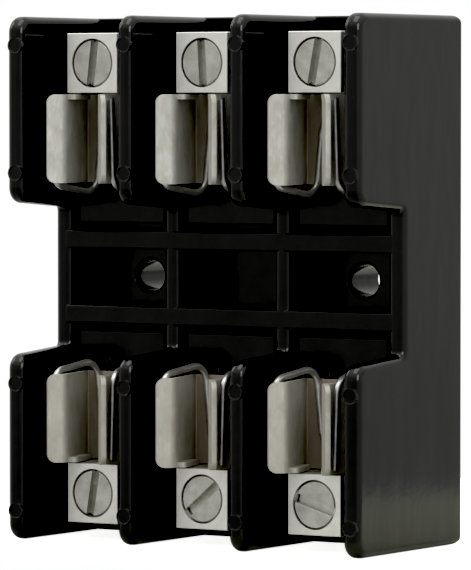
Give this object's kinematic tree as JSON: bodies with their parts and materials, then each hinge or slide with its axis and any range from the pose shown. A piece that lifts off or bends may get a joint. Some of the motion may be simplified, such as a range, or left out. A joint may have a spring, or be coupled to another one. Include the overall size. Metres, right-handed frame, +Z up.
{
  "type": "cartridge fuse holder",
  "caption": "Black moulded panel fuse block with barriers between poles, spring clips for cartridge fuses and box lugs with slotted screws.",
  "frame": {"origin": "midpoint between the two mounting holes, on the panel face", "axes": "+X across the poles to the right as seen from the front, +Y from the front into the panel, +Z up along the fuses"},
  "size_m": [0.0658, 0.0315, 0.0838],
  "materials": {
    "base_plastic": "glossy black moulded phenolic",
    "clip_plate": "dull tin plate on spring bronze sheet",
    "spring_wire": "bright drawn spring steel wire",
    "clip_screw_steel": "zinc-plated steel",
    "nut_steel": "zinc-plated steel",
    "lug_metal": "satin tin-plated aluminium",
    "lug_screw_steel": "plated steel, turned"
  },
  "bodies": {
    "block": {"base_block": "base_plastic", "fuse_clip_line_1": "clip_plate", "clip_spring_line_1": "spring_wire", "clip_screw_line_1": "clip_screw_steel", "clip_nut_line_1": "nut_steel", "fuse_clip_line_2": "clip_plate", "clip_spring_line_2": "spring_wire", "clip_screw_line_2": "clip_screw_steel", "clip_nut_line_2": "nut_steel", "fuse_clip_line_3": "clip_plate", "clip_spring_line_3": "spring_wire", "clip_screw_line_3": "clip_screw_steel", "clip_nut_line_3": "nut_steel", "fuse_clip_load_1": "clip_plate", "clip_spring_load_1": "spring_wire", "clip_screw_load_1": "clip_screw_steel", "clip_nut_load_1": "nut_steel", "fuse_clip_load_2": "clip_plate", "clip_spring_load_2": "spring_wire", "clip_screw_load_2": "clip_screw_steel", "clip_nut_load_2": "nut_steel", "fuse_clip_load_3": "clip_plate", "clip_spring_load_3": "spring_wire", "clip_screw_load_3": "clip_screw_steel", "clip_nut_load_3": "nut_steel"},
    "lug_line_1": {"box_lug_line_1": "lug_metal"},
    "screw_line_1": {"lug_screw_line_1": "lug_screw_steel"},
    "lug_line_2": {"box_lug_line_2": "lug_metal"},
    "screw_line_2": {"lug_screw_line_2": "lug_screw_steel"},
    "lug_line_3": {"box_lug_line_3": "lug_metal"},
    "screw_line_3": {"lug_screw_line_3": "lug_screw_steel"},
    "lug_load_1": {"box_lug_load_1": "lug_metal"},
    "screw_load_1": {"lug_screw_load_1": "lug_screw_steel"},
    "lug_load_2": {"box_lug_load_2": "lug_metal"},
    "screw_load_2": {"lug_screw_load_2": "lug_screw_steel"},
    "lug_load_3": {"box_lug_load_3": "lug_metal"},
    "screw_load_3": {"lug_screw_load_3": "lug_screw_steel"}
  },
  "joints": [
    {"name": "screw_turn_line_1", "type": "hinge", "parent": "block", "child": "screw_line_1", "pos_m": [-0.02085, -0.0215, 0.0345], "axis": [0, 1, 0], "range_deg": [-885, 749]},
    {"name": "lug_travel_line_1", "type": "slide", "parent": "block", "child": "lug_line_1", "axis": [0, -1, 0], "range_m": [-0.0026, 0.0022]},
    {"name": "screw_turn_line_2", "type": "hinge", "parent": "block", "child": "screw_line_2", "pos_m": [0, -0.0215, 0.0345], "axis": [0, 1, 0], "range_deg": [-885, 749]},
    {"name": "lug_travel_line_2", "type": "slide", "parent": "block", "child": "lug_line_2", "axis": [0, -1, 0], "range_m": [-0.0026, 0.0022]},
    {"name": "screw_turn_line_3", "type": "hinge", "parent": "block", "child": "screw_line_3", "pos_m": [0.02085, -0.0215, 0.0345], "axis": [0, 1, 0], "range_deg": [-885, 749]},
    {"name": "lug_travel_line_3", "type": "slide", "parent": "block", "child": "lug_line_3", "axis": [0, -1, 0], "range_m": [-0.0026, 0.0022]},
    {"name": "screw_turn_load_1", "type": "hinge", "parent": "block", "child": "screw_load_1", "pos_m": [-0.02085, -0.0215, -0.0345], "axis": [0, 1, 0], "range_deg": [-885, 749]},
    {"name": "lug_travel_load_1", "type": "slide", "parent": "block", "child": "lug_load_1", "axis": [0, -1, 0], "range_m": [-0.0026, 0.0022]},
    {"name": "screw_turn_load_2", "type": "hinge", "parent": "block", "child": "screw_load_2", "pos_m": [0, -0.0215, -0.0345], "axis": [0, 1, 0], "range_deg": [-885, 749]},
    {"name": "lug_travel_load_2", "type": "slide", "parent": "block", "child": "lug_load_2", "axis": [0, -1, 0], "range_m": [-0.0026, 0.0022]},
    {"name": "screw_turn_load_3", "type": "hinge", "parent": "block", "child": "screw_load_3", "pos_m": [0.02085, -0.0215, -0.0345], "axis": [0, 1, 0], "range_deg": [-885, 749]},
    {"name": "lug_travel_load_3", "type": "slide", "parent": "block", "child": "lug_load_3", "axis": [0, -1, 0], "range_m": [-0.0026, 0.0022]}
  ],
  "couplings": [
    {"joint": "screw_turn_line_1", "follows": "lug_travel_line_1", "rad_per_m": 5938.7},
    {"joint": "screw_turn_line_2", "follows": "lug_travel_line_2", "rad_per_m": 5938.7},
    {"joint": "screw_turn_line_3", "follows": "lug_travel_line_3", "rad_per_m": 5938.7},
    {"joint": "screw_turn_load_1", "follows": "lug_travel_load_1", "rad_per_m": 5938.7},
    {"joint": "screw_turn_load_2", "follows": "lug_travel_load_2", "rad_per_m": 5938.7},
    {"joint": "screw_turn_load_3", "follows": "lug_travel_load_3", "rad_per_m": 5938.7}
  ]
}
